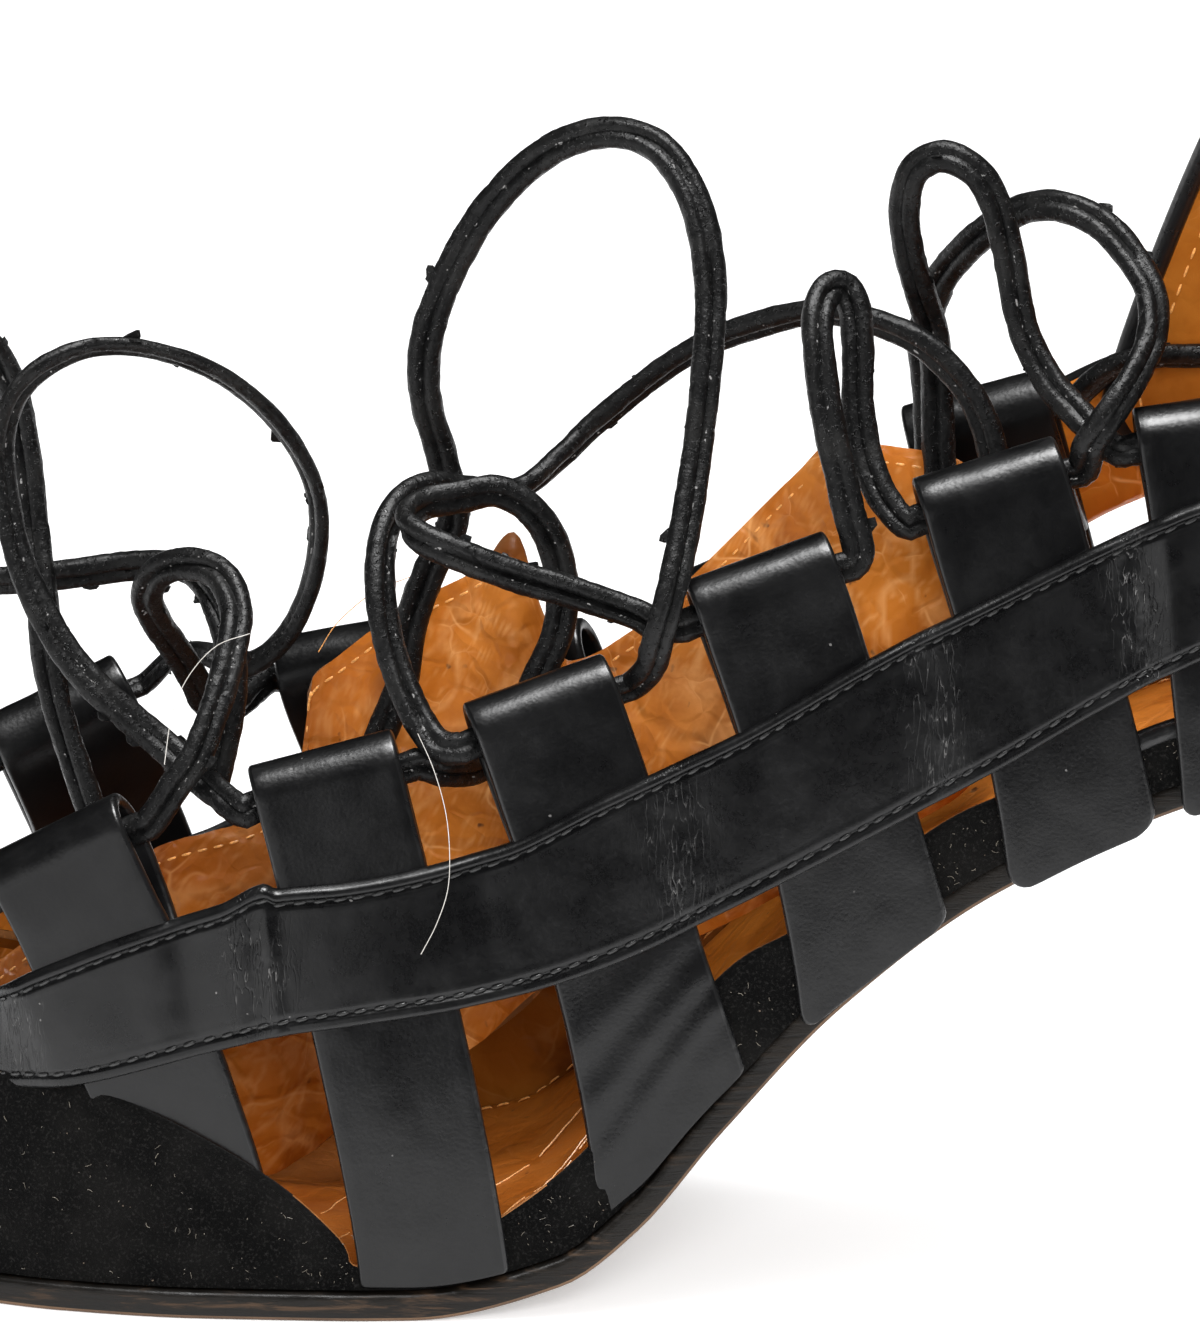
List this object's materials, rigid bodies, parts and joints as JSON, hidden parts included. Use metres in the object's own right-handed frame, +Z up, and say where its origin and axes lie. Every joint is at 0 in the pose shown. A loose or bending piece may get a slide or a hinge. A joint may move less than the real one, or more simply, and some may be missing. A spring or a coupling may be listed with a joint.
{
  "type": "lace-up pump",
  "caption": "Pointed-toe lace-up pump on a slim high heel: a leather cage of looped straps crossed by a band, closed by loose round laces over a soft tongue.",
  "frame": {"origin": "on the floor under the middle of the shoe without its laces", "axes": "-X towards the toe, +X towards the heel, -Y the outer side of the foot, +Z up"},
  "size_m": [0.2388, 0.0762, 0.1363],
  "materials": {
    "outsole": "smooth waxed edge",
    "insole": "smooth tan sock",
    "heel": "leather cover, satin",
    "heel_tip": "matt rubber",
    "upper": "satin smooth straps and band, suede toe cap",
    "tongue": "crumpled tan lining leather",
    "laces": "rolled leather cord, satin, flaking"
  },
  "bodies": {
    "root": {"outsole": "outsole", "insole": "insole", "heel": "heel", "heel_tip": "heel_tip", "upper": "upper", "tongue": "tongue", "lace_arc_front": "laces", "lace_hook_front": "laces", "lace_end_outer": "laces", "lace_end_inner": "laces", "lace_ring_middle": "laces", "lace_arc_middle": "laces", "lace_arc_tall": "laces", "lace_pin_back": "laces", "lace_arc_back": "laces", "lace_bow_back": "laces", "lace_top_crossing": "laces"}
  },
  "joints": []
}
